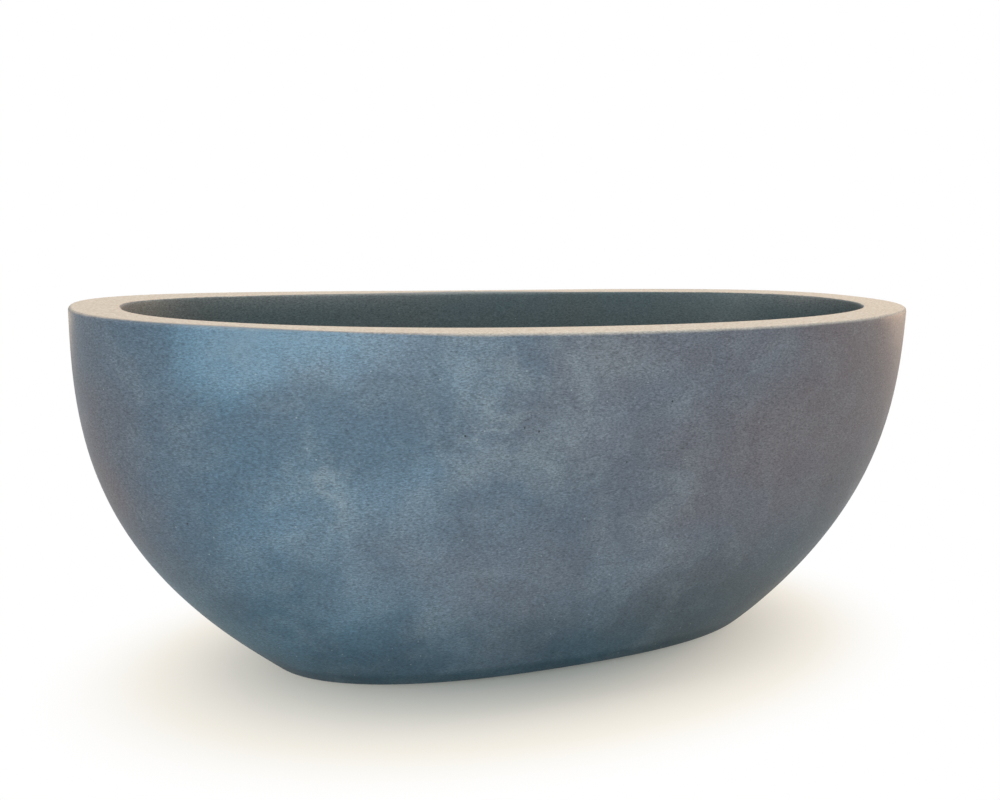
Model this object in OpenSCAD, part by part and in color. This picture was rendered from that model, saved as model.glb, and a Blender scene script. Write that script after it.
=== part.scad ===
// Oval bowl planter cast in concrete: a thick-walled bowl on a flat base, two plugged drain holes
// in its floor, a cage of steel bars inside the wall, and rubber pads under the base.
// X runs along the bowl, Y across it, Z up. The origin is on the ground, under the middle.

/* [Outline] */
// Length over the rim, end to end
rim_length = 914; // [860:1:970]
// Width over the rim, front to rear
rim_width = 457; // [430:1:500]
// Height of the rim above the ground, at the middle of its long sides
rim_height = 360; // [330:1:400]
// How far the two ends of the rim stand above its middle
rim_rise = 6.5; // [0:0.5:12]
// Length of the flat base
base_length = 555; // [520:1:600]
// Width of the flat base
base_width = 253; // [235:1:275]
// Squareness of the oval: 2 is an ellipse, more is squarer
oval_power = 2.4; // [2.1:0.05:2.8]
// Fullness of the ends, from base to rim: more fills the belly out sooner
end_fullness = 2.8; // [2.4:0.05:3.2]
// Flare of the ends just above the base: less starts steeper
end_flare = 0.94; // [0.86:0.01:1.1]
// Fullness of the long sides, from base to rim
side_fullness = 2; // [1.8:0.05:2.4]
// Flare of the long sides just above the base
side_flare = 1.25; // [1.1:0.01:1.4]

/* [Concrete] */
// Thickness of the wall, measured level across the rim
wall = 46; // [44:0.5:54]
// Thickness of the wall, measured level just above the floor
wall_low = 56; // [50:0.5:62]
// Thickness of the floor
floor_thickness = 50; // [46:0.5:60]
// Radius of the hollow's corner between wall and floor
floor_fillet = 40; // [30:1:50]
// Radius of the rim's outer edge
rim_outer_edge = 4; // [2.5:0.5:7]
// Radius of the rim's inner edge
rim_inner_edge = 3; // [2:0.5:6]
// Radius of the edge round the base
base_edge = 2.5; // [1.5:0.5:4]

/* [Drains] */
// Diameter of the drain sleeve's bore
drain_bore = 26; // [24:0.5:28]
// Thickness of the drain sleeve's tube
sleeve_wall = 3; // [2.5:0.5:4]
// Diameter of the sleeve's flange, flush with the floor of the bowl
flange_diameter = 50; // [46:1:56]
// Thickness of the sleeve's flange
flange_thickness = 3; // [2.5:0.5:4]
// Diameter of the ring that keys the sleeve into the concrete
key_diameter = 40; // [38:1:44]
// Thickness of the key ring
key_thickness = 4; // [3:0.5:6]

/* [Plugs] */
// Length of the plug's stem below its head
stem_length = 24; // [18:1:32]
// Length of the stem's straight sealing band, just under the head
band_length = 8; // [6:0.5:12]
// Diameter of the stem's tip
tip_diameter = 22; // [17:0.5:23]
// Diameter of the plug's head
head_diameter = 38; // [36:0.5:42]
// Thickness of the plug's head
head_thickness = 5; // [4:0.5:7]
// Rounding of the head's upper edge
head_edge = 2; // [1:0.5:3]
// Length of the pull tab along the top of the head
tab_length = 22; // [16:1:26]
// Thickness of the pull tab
tab_thickness = 6; // [4:0.5:8]
// Height of the pull tab above the head
tab_height = 14; // [12:0.5:18]

/* [Pads] */
// Diameter of each pad under the base
pad_diameter = 40; // [30:1:48]
// Thickness of each pad
pad_thickness = 6; // [5:0.5:8]
// How far the pads stand out of the base
pad_proud = 2; // [1:0.5:3]
// Distance of the pads' centres inside the base's outline
pad_inset = 34; // [32:1:44]
// Place of the pads round the oval, from its long axis, in degrees
pad_angle = 42; // [36:1:50]

/* [Steel] */
// Diameter of the bars
bar_diameter = 6; // [5:0.5:7]
// Concrete between the bowl's outside and the hoops, measured level
hoop_cover = 16; // [14:0.5:18]
// Concrete between the hoops and the ribs, measured level
cage_gap = 4; // [3:0.5:5]
// Distance of the top hoop below the rim
top_hoop_depth = 26; // [22:1:34]
// Height of the middle hoop above the base
belly_hoop_height = 196; // [170:1:230]
// Height of the bottom hoop above the base
base_hoop_height = 84; // [74:1:110]
// Distance of the ribs' ends below the rim
rib_end_depth = 14; // [12:0.5:20]
// Concrete under the ribs that run along the floor
floor_cover = 12; // [10:0.5:14]
// Radius at which the ribs bend from the floor into the wall
rib_bend = 30; // [24:1:40]
// Distance between the ribs that cross the bowl
rib_pitch = 78; // [70:1:84]
// Distance between the two ribs that run along the bowl
long_rib_spacing = 92; // [84:1:110]

/* [Fits] */
// Room round a piece that is cast into the concrete
cast_fit = 0.05; // [0.02:0.01:0.1]
// Room round a pad in its recess
pad_fit = 0.3; // [0.2:0.05:0.5]
// Room round the plug's sealing band in the sleeve
plug_fit = 0.05; // [0.02:0.01:0.1]

/* [Hidden] */
$fn = 64;

// Steps round the oval and along its profile
oval_points = 80;
hoop_points = 48;
bar_sides = 6;
wall_steps = 13;
hollow_steps = 8;
edge_steps = 3;
fillet_steps = 6;
rib_steps = 8;
bend_steps = 4;
// How strongly the profile's steps crowd towards the base, where it curves most
crowding = 1.5;
// How far a cut runs past the face that it opens
overrun = 1;

slate = "#6f7f8b";
pipe_grey = "#8d9296";
rubber_black = "#26272a";
bar_steel = "#7b736c";

left = -1;
right = 1;
front = -1;
rear = 1;

shell_base = pad_proud;
floor_top = shell_base + floor_thickness;
bar_radius = bar_diameter / 2;
hoop_inset = hoop_cover + bar_radius;
rib_inset = hoop_inset + bar_diameter + cage_gap;
long_rib_level = shell_base + floor_cover + bar_radius;
cross_rib_level = long_rib_level + bar_diameter + cage_gap;
rib_top = rim_height - rib_end_depth;
top_hoop_level = rim_height - top_hoop_depth;
belly_hoop_level = shell_base + belly_hoop_height;
base_hoop_level = shell_base + base_hoop_height;

// The ribs across the bowl are numbered from left to right, with the third in the middle
cross_ribs = 5;
middle_rib = (cross_ribs + 1) / 2;
function cross_rib_x(number) = (number - middle_rib) * rib_pitch;
// Each drain lies midway between the two outer ribs on its side
drain_x = (cross_rib_x(cross_ribs - 1) + cross_rib_x(cross_ribs)) / 2;

sleeve_radius = drain_bore / 2 + sleeve_wall;
band_radius = drain_bore / 2 - plug_fit;
head_radius = head_diameter / 2;
tab_radius = tab_length / 2;
recess_depth = pad_thickness - pad_proud;

// Quarter round from 0 to 1, as its run along the edge and its run in from the edge
function quarter(i, steps) = [1 - cos(90 * i / steps), 1 - sin(90 * i / steps)];

// Outline of the bowl: how far it has widened, from 0 at the base to 1 at the rim
function height_share(level) = (level - shell_base) / (rim_height - shell_base);
function widened(level, fullness, flare) = pow(1 - pow(1 - height_share(level), fullness), 1 / flare);
function between(low, high, share) = low + (high - low) * share;
function half_length(level) =
    between(base_length, rim_length, widened(level, end_fullness, end_flare)) / 2;
function half_width(level) =
    between(base_width, rim_width, widened(level, side_fullness, side_flare)) / 2;

// The rim and the wall under it rise towards the ends, and the floor stays level
function rise(level, x) =
    rim_rise * max(0, (level - floor_top) / (rim_height - floor_top)) * pow(2 * x / rim_length, 2);
function raised(x, y, level) = [x, y, level + rise(level, x)];

// A point of the bowl's oval at a level, taken in from the outside by an inset
function oval_share(v) = sign(v) * pow(abs(v), 2 / oval_power);
function oval_point(angle, level, inset) =
    raised(
        (half_length(level) - inset) * oval_share(cos(angle)),
        (half_width(level) - inset) * oval_share(sin(angle)),
        level
    );
function oval_ring(level, inset) =
    [for (i = [0:oval_points - 1]) oval_point(360 * i / oval_points, level, inset)];

// How far the oval reaches along one half axis, where the other coordinate is given
function reach(half, other_half, other) =
    half * pow(1 - pow(abs(other) / other_half, oval_power), 1 / oval_power);

// A line down the wall, round the corner and onto the floor, as levels and insets
function wall_line(top, bottom, inset, inset_low, bend, steps, corner_steps) = concat(
    [for (i = [0:steps - 1])
        [between(top, bottom + bend, i / steps), between(inset, inset_low, i / steps)]],
    [for (i = [0:corner_steps])
        let (q = quarter(i, corner_steps))
        [bottom + bend * q[1], inset_low + bend * q[0]]]
);

// The cast bowl's profile: up the outside, over the rim and down the hollow
outside_low = shell_base + base_edge;
outside_high = rim_height - rim_outer_edge;
outer_profile = concat(
    [for (i = [0:edge_steps])
        let (q = quarter(i, edge_steps))
        [shell_base + base_edge * q[0], base_edge * q[1]]],
    [for (i = [1:wall_steps - 1])
        [between(outside_low, outside_high, pow(i / wall_steps, crowding)), 0]],
    [for (i = [0:edge_steps])
        let (q = quarter(i, edge_steps))
        [rim_height - rim_outer_edge * q[1], rim_outer_edge * q[0]]]
);
hollow_profile = concat(
    [for (i = [0:edge_steps - 1])
        let (q = quarter(i, edge_steps))
        [rim_height - rim_inner_edge * q[0], wall - rim_inner_edge * q[1]]],
    wall_line(
        rim_height - rim_inner_edge, floor_top, wall, wall_low, floor_fillet, hollow_steps, fillet_steps
    )
);

// The two triangles between neighbouring points of two rings
function patch(low, high, i, count) = [
    [low + i, high + i, high + (i + 1) % count],
    [low + i, high + (i + 1) % count, low + (i + 1) % count]
];

// A solid through a row of rings, closed at its two ends or joined end to end
module lofted(rings, joined = false) {
    count = len(rings[0]);
    total = len(rings);
    skin = [
        for (r = [0:total - (joined ? 1 : 2)])
            for (i = [0:count - 1])
                each patch(r * count, ((r + 1) % total) * count, i, count)
    ];
    ends = joined ? [] : [
        [for (i = [0:count - 1]) i],
        [for (i = [count - 1:-1:0]) (total - 1) * count + i]
    ];
    polyhedron(points = [for (ring = rings) each ring], faces = concat(skin, ends));
}

// A round bar along a path: across gives a direction square to the path at each of its points
function unit(v) = v / norm(v);
function bar_ring(centre, along, across, radius) =
    let (square = cross(along, across))
    [for (k = [0:bar_sides - 1])
        let (turn = 360 * k / bar_sides)
        centre + radius * (cos(turn) * across + sin(turn) * square)];

module hoop(level, room = 0) {
    path = [for (i = [0:hoop_points - 1]) oval_point(360 * i / hoop_points, level, hoop_inset)];
    lofted([
        for (i = [0:hoop_points - 1])
            let (
                next = path[(i + 1) % hoop_points],
                previous = path[(i + hoop_points - 1) % hoop_points],
                along = unit(next - previous)
            )
            bar_ring(path[i], along, unit([along[1], -along[0], 0]), bar_radius + room)
    ], joined = true);
}

module rib(path, across, room) {
    last = len(path) - 1;
    first_end = path[0] + room * unit(path[0] - path[1]);
    last_end = path[last] + room * unit(path[last] - path[last - 1]);
    line = [for (i = [0:last]) i == 0 ? first_end : i == last ? last_end : path[i]];
    lofted([
        for (i = [0:last])
            let (along = unit(line[min(i + 1, last)] - line[max(i - 1, 0)]))
            bar_ring(line[i], along, across, bar_radius + room)
    ]);
}

// One half of a rib's line, and the whole line from wall to wall
function rib_line(level) =
    wall_line(rib_top, level, rib_inset, rib_inset, rib_bend, rib_steps, bend_steps);
function cross_half(x, side) = [
    for (p = rib_line(cross_rib_level))
        raised(x, side * reach(half_width(p[0]) - p[1], half_length(p[0]) - p[1], x), p[0])
];
function long_half(y, side) = [
    for (p = rib_line(long_rib_level))
        raised(side * reach(half_length(p[0]) - p[1], half_width(p[0]) - p[1], y), y, p[0])
];
function reversed(list) = [for (i = [len(list) - 1:-1:0]) list[i]];

module cross_rib(number, room = 0) {
    x = cross_rib_x(number);
    rib(concat(cross_half(x, rear), reversed(cross_half(x, front))), [1, 0, 0], room);
}

module long_rib(face, room = 0) {
    y = face * long_rib_spacing / 2;
    rib(concat(long_half(y, right), reversed(long_half(y, left))), [0, 1, 0], room);
}

// The sleeve's outside, grown by the room that its seat in the concrete needs
module sleeve_body(side, room = 0) {
    key_level = (shell_base + floor_top - key_thickness) / 2;
    translate([side * drain_x, 0, 0]) {
        translate([0, 0, shell_base])
            cylinder(h = floor_thickness, r = sleeve_radius + room);
        translate([0, 0, floor_top - flange_thickness - room])
            cylinder(h = flange_thickness + room, d = flange_diameter + 2 * room);
        translate([0, 0, key_level - room])
            cylinder(h = key_thickness + 2 * room, d = key_diameter + 2 * room);
    }
}

module drain_sleeve(side) {
    color(pipe_grey) difference() {
        sleeve_body(side);
        translate([side * drain_x, 0, shell_base - overrun])
            cylinder(h = floor_thickness + 2 * overrun, d = drain_bore);
    }
}

// A rubber plug: a tapered stem, a sealing band, a head that rests on the flange and a pull tab
module plug_body() {
    rotate_extrude() polygon(concat(
        [[0, -stem_length], [tip_diameter / 2, -stem_length]],
        [[band_radius, -band_length], [band_radius, 0], [head_radius, 0]],
        [for (i = [0:fillet_steps])
            let (q = quarter(i, fillet_steps))
            [head_radius - head_edge * q[0], head_thickness - head_edge * q[1]]],
        [[0, head_thickness]]
    ));
}

// The tab is round at the top and goes down into the head
module pull_tab() {
    root = head_thickness / 2;
    rotate([90, 0, 0]) linear_extrude(tab_thickness, center = true) intersection() {
        union() {
            translate([0, tab_height - tab_radius]) circle(r = tab_radius);
            translate([-tab_radius, -root]) square([tab_length, root + tab_height - tab_radius]);
        }
        translate([-tab_radius, -root]) square([tab_length, root + tab_height]);
    }
}

module drain_plug(side) {
    color(rubber_black) translate([side * drain_x, 0, floor_top]) {
        plug_body();
        translate([0, 0, head_thickness]) pull_tab();
    }
}

function pad_centre(side, face) = [
    side * (base_length / 2 - pad_inset) * oval_share(cos(pad_angle)),
    face * (base_width / 2 - pad_inset) * oval_share(sin(pad_angle)),
    0
];

module foot_pad(side, face) {
    color(rubber_black) translate(pad_centre(side, face))
        cylinder(h = pad_thickness, d = pad_diameter);
}

module pad_recess(side, face) {
    translate(pad_centre(side, face)) translate([0, 0, shell_base - overrun])
        cylinder(h = recess_depth + overrun, d = pad_diameter + 2 * pad_fit);
}

// The hole that the sleeve leaves in the concrete, open at both faces of the floor
module drain_seat(side) {
    sleeve_body(side, cast_fit);
    translate([side * drain_x, 0, shell_base - overrun])
        cylinder(h = floor_thickness + 2 * overrun, r = sleeve_radius + cast_fit);
    translate([side * drain_x, 0, floor_top - flange_thickness - cast_fit])
        cylinder(h = flange_thickness + overrun, d = flange_diameter + 2 * cast_fit);
}

module bowl_shell() {
    color(slate) difference() {
        lofted([for (p = concat(outer_profile, hollow_profile)) oval_ring(p[0], p[1])]);
        for (side = [left, right]) {
            drain_seat(side);
            for (face = [front, rear]) pad_recess(side, face);
        }
        for (level = [top_hoop_level, belly_hoop_level, base_hoop_level]) hoop(level, cast_fit);
        for (number = [1:cross_ribs]) cross_rib(number, cast_fit);
        for (face = [front, rear]) long_rib(face, cast_fit);
    }
}

module steel_hoop(level) {
    color(bar_steel) hoop(level);
}

module steel_cross_rib(number) {
    color(bar_steel) cross_rib(number);
}

module steel_long_rib(face) {
    color(bar_steel) long_rib(face);
}

bowl_shell();
drain_sleeve(left);  // drain_sleeve_left
drain_sleeve(right);  // drain_sleeve_right
drain_plug(left);  // drain_plug_left
drain_plug(right);  // drain_plug_right
foot_pad(left, front);  // foot_pad_front_left
foot_pad(right, front);  // foot_pad_front_right
foot_pad(left, rear);  // foot_pad_rear_left
foot_pad(right, rear);  // foot_pad_rear_right
steel_hoop(top_hoop_level);  // top_hoop
steel_hoop(belly_hoop_level);  // belly_hoop
steel_hoop(base_hoop_level);  // base_hoop
steel_cross_rib(1);  // cross_rib_1
steel_cross_rib(2);  // cross_rib_2
steel_cross_rib(3);  // cross_rib_3
steel_cross_rib(4);  // cross_rib_4
steel_cross_rib(5);  // cross_rib_5
steel_long_rib(front);  // long_rib_front
steel_long_rib(rear);  // long_rib_rear
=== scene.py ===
"""An oval bowl planter, cast in concrete, with its drains, plugs, pads and steel, in a small studio."""

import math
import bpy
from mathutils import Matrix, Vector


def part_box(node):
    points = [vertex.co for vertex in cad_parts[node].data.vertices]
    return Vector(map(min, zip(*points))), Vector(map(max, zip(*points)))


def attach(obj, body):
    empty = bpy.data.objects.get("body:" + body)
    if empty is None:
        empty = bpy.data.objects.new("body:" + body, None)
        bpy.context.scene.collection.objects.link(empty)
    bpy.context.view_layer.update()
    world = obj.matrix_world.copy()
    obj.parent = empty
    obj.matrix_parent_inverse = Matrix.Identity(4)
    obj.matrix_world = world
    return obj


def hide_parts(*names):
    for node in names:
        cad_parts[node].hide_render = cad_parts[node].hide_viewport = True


bl_info = {
    "name": "Oval Bowl Planter",
    "version": (1, 0, 0),
    "blender": (4, 5, 0),
    "location": "View3D > Sidebar > Planter",
    "description": "Models a cast concrete bowl with drains, plugs and pads, in a small white studio",
    "category": "Add Mesh",
}

import bmesh
import bpy
from bpy.props import FloatProperty, FloatVectorProperty, PointerProperty
from mathutils import Matrix, Vector

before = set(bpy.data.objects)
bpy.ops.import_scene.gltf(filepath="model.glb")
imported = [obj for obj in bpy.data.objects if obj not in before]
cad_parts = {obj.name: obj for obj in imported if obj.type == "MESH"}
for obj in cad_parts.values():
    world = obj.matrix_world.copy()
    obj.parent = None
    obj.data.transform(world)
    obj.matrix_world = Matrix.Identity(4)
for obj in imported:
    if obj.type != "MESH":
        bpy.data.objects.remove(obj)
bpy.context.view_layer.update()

MM = 0.001
SIDES = {"left": -1, "right": 1}
FACES = {"front": -1, "rear": 1}
# Parts of the concrete's surface, which its mesh carries as attributes
ZONES = ("rim_face", "hollow", "underside")

# The bowl is spun as a round of this radius before it is pressed into its oval
SPUN_RADIUS = 1.0
ROUND_STEPS = 192
SMALL_ROUND_STEPS = 64
# Steps of the wall's section: up the outside, over the rim's face and down the inside
OUTSIDE_STEPS = 48
FACE_STEPS = 9
INSIDE_STEPS = 40
# Steps of the rounded edges
BASE_EDGE_STEPS = 4
OUTER_EDGE_STEPS = 8
INNER_EDGE_STEPS = 5
FILLET_STEPS = 12
HEAD_EDGE_STEPS = 6
# Flat ring kept beside the base's edge and beside the floor's fillet
FLAT_RING = 3 * MM

# Edges that turn by less than this are shaded smooth
SMOOTH_ANGLE = math.radians(38)
# How far the edges of the smaller pieces are rounded
SLEEVE_EDGE = 0.5 * MM
PLUG_EDGE = 0.4 * MM
TAB_EDGE = 0.8 * MM
PAD_EDGE = 0.25 * MM
# The pull tab's two round shoulders all but meet in the middle
SHOULDER_STEPS = 12
SHOULDER_GAP = 0.05 * MM
# Round grooves in a pad's lower face, each placed at a share of the pad's radius
GROOVE_SHARES = (0.25, 0.5, 0.75)
GROOVE_WIDTH = 1.2 * MM
GROOVE_DEPTH = 0.6 * MM

# From the middle of the sheet of paper to its sides, in metres
PAPER_REACH = 8
# The shadow lies a little to the front and left
SHADOW_MIDDLE = (-0.02, -0.03, 0)


def colour(written):
    """Turns an sRGB hex value such as #8899aa into linear red, green, blue and alpha."""
    parts = [int(written[i : i + 2], 16) / 255 for i in (1, 3, 5)]
    return [p / 12.92 if p <= 0.04045 else ((p + 0.055) / 1.055) ** 2.4 for p in parts] + [1.0]


WHITE = colour("#ffffff")


def number(name, description, default, **kind):
    """A number to set in the panel."""
    return FloatProperty(name=name, description=description, default=default, **kind)


def length(name, description, millimetres):
    """A length to set in the panel, given in millimetres."""
    return number(name, description, millimetres * MM, unit="LENGTH")


def tone(name, description, written):
    """A colour to set in the panel, given as an sRGB hex value."""
    return FloatVectorProperty(
        name=name, description=description, subtype="COLOR", size=4, default=colour(written)
    )


class BowlSizes(bpy.types.PropertyGroup):
    """Sizes of the concrete bowl"""

    rim_length: length("Rim length", "Length over the rim, end to end", 914)
    rim_width: length("Rim width", "Width over the rim, front to rear", 457)
    rim_height: length(
        "Rim height", "Height of the rim above the ground, at the middle of its long sides", 360
    )
    rim_rise: length("Rim rise", "How far the rim's ends stand above its middle", 6.5)
    base_length: length("Base length", "Length of the flat base", 555)
    base_width: length("Base width", "Width of the flat base", 253)
    base_level: length("Base level", "Height of the concrete above the ground", 2)
    oval_power: number("Oval power", "Squareness of the oval, where 2 is an ellipse", 2.4)
    end_fullness: number("End fullness", "How soon the ends fill out above the base", 2.8)
    end_flare: number("End flare", "Flare of the ends just above the base", 0.94)
    side_fullness: number("Side fullness", "How soon the long sides fill out above the base", 2.0)
    side_flare: number("Side flare", "Flare of the long sides just above the base", 1.25)
    wall: length("Wall at the rim", "Thickness of the wall at the rim", 46)
    wall_low: length("Wall at the floor", "Thickness of the wall just above the floor, measured level", 56)
    floor_thickness: length("Floor", "Thickness of the floor", 50)
    floor_fillet: length("Floor fillet", "Radius between wall and floor", 40)
    rim_outer_edge: length("Outer edge", "Radius of the rim's outer edge", 4)
    rim_inner_edge: length("Inner edge", "Radius of the rim's inner edge", 3)
    base_edge: length("Base edge", "Radius of the edge round the base", 2.5)


class FittingSizes(bpy.types.PropertyGroup):
    """Sizes of the drains, plugs and pads"""

    drain_x: length("Drain place", "Distance of each drain from the middle", 117)
    cast_fit: length("Cast fit", "Room round a piece cast into the concrete", 0.05)
    bore_radius: length("Bore radius", "Radius of the sleeve's bore", 13)
    sleeve_radius: length("Sleeve radius", "Outer radius of the sleeve's tube", 16)
    flange_radius: length("Flange radius", "Radius of the sleeve's flange", 25)
    flange_thickness: length("Flange thickness", "Thickness of the sleeve's flange", 3)
    key_radius: length("Key radius", "Radius of the ring that keys the sleeve in", 20)
    key_thickness: length("Key thickness", "Thickness of the key ring", 4)
    stem_length: length("Stem length", "Length of the plug's stem", 24)
    band_length: length("Band length", "Length of the plug's sealing band", 8)
    band_radius: length("Band radius", "Radius of the plug's sealing band", 12.95)
    tip_radius: length("Tip radius", "Radius of the stem's tip", 11)
    head_radius: length("Head radius", "Radius of the plug's head", 19)
    head_thickness: length("Head thickness", "Thickness of the plug's head", 5)
    head_edge: length("Head edge", "Rounding of the head's upper edge", 2)
    tab_length: length("Tab length", "Length of the pull tab", 22)
    tab_thickness: length("Tab thickness", "Thickness of the pull tab", 6)
    tab_height: length("Tab height", "Height of the tab above the head", 14)
    pad_radius: length("Pad radius", "Radius of each pad", 20)
    pad_thickness: length("Pad thickness", "Thickness of each pad", 6)
    pad_fit: length("Pad fit", "Room round a pad in its recess", 0.3)


class FinishColours(bpy.types.PropertyGroup):
    """Colours of the finishes"""

    slate: tone("Slate", "Deeper tone of the stain", "#4d6677")
    wash: tone("Wash", "Paler tone of the stain", "#667f90")
    # Painted shade, tinted blue: it darkens the wall towards the base and in a line along its lower edge
    painted_base_shade: tone("Pooled stain", "Tint that the stain took on where it ran down to the base", "#a4cad1")
    # Warm grey: partly the stain, partly painted warm light towards the right and at the ends
    mauve: tone("Mauve", "Warm grey where the stain took less", "#675f62")
    bloom: tone("Bloom", "Lime that has come to the surface", "#9aa2a4")
    sand: tone("Sand", "Bare cement and sand on the rim", "#d1c5b6")
    sand_grey: tone("Grey sand", "Darker cement on the rim's outer edge", "#94908c")
    # The inside's stain is drawn darker than the outside's: partly a deeper stain, partly painted shade in
    # the hollow
    hollow: tone("Hollow", "Stain inside the bowl", "#556265")
    hollow_thin: tone("Hollow, thin", "Thinner stain inside the bowl", "#5d605d")
    cement: tone("Cement", "Unstained underside", "#8d8f8e")
    hole: tone("Pinholes", "Shade inside the pinholes", "#2d3436")
    pipe: tone("Pipe", "Grey pipe plastic", "#8d9296")
    rubber: tone("Rubber", "Black rubber", "#26272a")
    scale: tone("Mill scale", "Dark skin of rolled steel", "#5a554f")
    rust: tone("Rust", "Light rust on the bars", "#8a5f43")
    paper: tone("Paper", "Studio paper, as it lights the bowl", "#c3c2bf")
    paper_seen: tone("Paper, seen", "Studio paper, as the camera sees it", "#fff8ec")
    # A painted warm glow on the paper where the shadow runs out
    paper_warm_glow: tone("Paper, edge", "Studio paper where the shadow runs out", "#fffaf0")


# Where the stain is paler, or deeper where the strength is negative: place, size and strength.
# The first is a painted highlight, and the third is painted shade on the left-hand end
WASHES_AND_PAINTED_LIGHT = [
    ((-0.330, -0.182, 0.345), (0.19, 0.12, 0.10), 0.72),
    ((-0.240, -0.200, 0.290), (0.15, 0.12, 0.08), -0.80),
    ((-0.460, -0.050, 0.320), (0.14, 0.20, 0.20), -0.90),
    ((0.020, -0.205, 0.210), (0.24, 0.12, 0.10), -0.50),
    ((0.090, -0.180, 0.090), (0.16, 0.12, 0.09), -0.30),
    ((-0.380, -0.120, 0.200), (0.13, 0.12, 0.12), -0.50),
]
# Where the ends turn warm grey: partly rubbed, and partly painted warm light
ENDS_WORN_AND_PAINTED_WARM = [
    ((-0.440, -0.060, 0.210), (0.16, 0.22, 0.30), 0.40),
    ((0.450, 0.000, 0.230), (0.20, 0.26, 0.34), 0.80),
]
# Where the lime bloomed most
BLOOMS = [
    ((-0.275, -0.184, 0.222), (0.055, 0.10, 0.075), 0.75),
    ((-0.100, -0.222, 0.300), (0.090, 0.10, 0.070), 0.60),
    ((-0.080, -0.222, 0.335), (0.140, 0.10, 0.060), 0.28),
    ((-0.110, -0.210, 0.245), (0.150, 0.10, 0.070), 0.25),
    ((0.060, -0.205, 0.170), (0.045, 0.10, 0.090), 0.20),
    ((0.250, 0.200, 0.240), (0.080, 0.10, 0.070), 0.80),
    ((-0.110, 0.215, 0.200), (0.060, 0.10, 0.090), 0.60),
]
# Where the stain crept over the rim's face from outside
RIM_STAINS = [
    ((-0.350, -0.180, 0.360), (0.24, 0.24, 0.24), 0.75),
    ((0.300, 0.200, 0.360), (0.30, 0.30, 0.30), 0.40),
]
# Where it crept over the rim's face from the hollow
HOLLOW_STAINS = [
    ((0.000, 0.190, 0.360), (0.38, 0.20, 0.20), 0.62),
]
# Painted light inside, on the wall just under the rim and most at the left-hand tip
PAINTED_LIGHT_IN_HOLLOW = [
    ((-0.420, 0.000, 0.360), (0.16, 0.20, 0.09), 1.20),
    ((-0.180, 0.170, 0.366), (0.36, 0.20, 0.032), 0.60),
    ((0.400, 0.050, 0.366), (0.10, 0.14, 0.032), 0.60),
]


def add_node(tree, kind, inputs=None, **settings):
    """Adds a node. An input given as a socket or another node is linked, and any other is set."""
    node = tree.nodes.new(kind)
    for name, value in settings.items():
        setattr(node, name, value)
    for name, value in (inputs or {}).items():
        if isinstance(value, bpy.types.Node):
            value = next(socket for socket in value.outputs if socket.enabled)
        if isinstance(value, bpy.types.NodeSocket):
            tree.links.new(value, node.inputs[name])
        else:
            node.inputs[name].default_value = value
    return node


def new_material(name):
    """A material, its tree emptied, and the place of each point on the piece."""
    material = bpy.data.materials.new(name)
    material.use_nodes = True
    tree = material.node_tree
    tree.nodes.clear()
    return material, tree, add_node(tree, "ShaderNodeTexCoord").outputs["Object"]


def sized(millimetres):
    """Scale of a pattern whose features are this far apart."""
    return 1000 / millimetres


def patches(tree, place, spots):
    """Adds up soft round patches, given as place, size and strength."""
    total = 0.0
    for spot, size, strength in spots:
        # Mapping of type Texture takes the pattern to the spot and stretches it to its size
        moved = add_node(
            tree, "ShaderNodeMapping", {"Vector": place, "Location": spot, "Scale": size},
            vector_type="TEXTURE",
        )
        patch = add_node(
            tree, "ShaderNodeTexGradient", {"Vector": moved}, gradient_type="QUADRATIC_SPHERE"
        )
        total = add_node(
            tree, "ShaderNodeMath", {0: patch.outputs["Fac"], 1: strength, 2: total},
            operation="MULTIPLY_ADD",
        )
    return total


def swirled(tree, place):
    """Carries the larger patterns about in slow swirls, so that no patch has a plain edge."""
    swirl = add_node(tree, "ShaderNodeTexNoise", {"Vector": place, "Scale": sized(110), "Detail": 3})
    swirl = add_node(
        tree, "ShaderNodeVectorMath", {0: swirl.outputs["Color"], 1: (0.5, 0.5, 0.5)}, operation="SUBTRACT"
    )
    swirl = add_node(tree, "ShaderNodeVectorMath", {0: swirl, "Scale": 0.10}, operation="SCALE")
    return add_node(tree, "ShaderNodeVectorMath", {0: place, 1: swirl}, operation="ADD")


def stain_clouds(tree, drawn, washes_and_painted_light):
    """How pale the stain is: clouds, a hand to a forearm across, and the runs that it made down the wall.
    The washes add a painted highlight and painted shade.
    """
    clouds = add_node(
        tree, "ShaderNodeTexNoise", {"Vector": drawn, "Scale": sized(150), "Detail": 5, "Roughness": 0.52}
    )
    runs = add_node(tree, "ShaderNodeMapping", {"Vector": drawn, "Scale": (1, 1, 0.15)})
    runs = add_node(tree, "ShaderNodeTexNoise", {"Vector": runs, "Scale": sized(55), "Detail": 3})
    clouds = add_node(tree, "ShaderNodeMath", {0: runs, 1: 0.3, 2: clouds}, operation="MULTIPLY_ADD")
    clouds = add_node(tree, "ShaderNodeMath", {0: clouds, 1: washes_and_painted_light}, operation="ADD")
    return add_node(
        tree, "ShaderNodeMapRange", {0: clouds, 1: 0.50, 2: 0.84}, interpolation_type="SMOOTHSTEP"
    )


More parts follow.
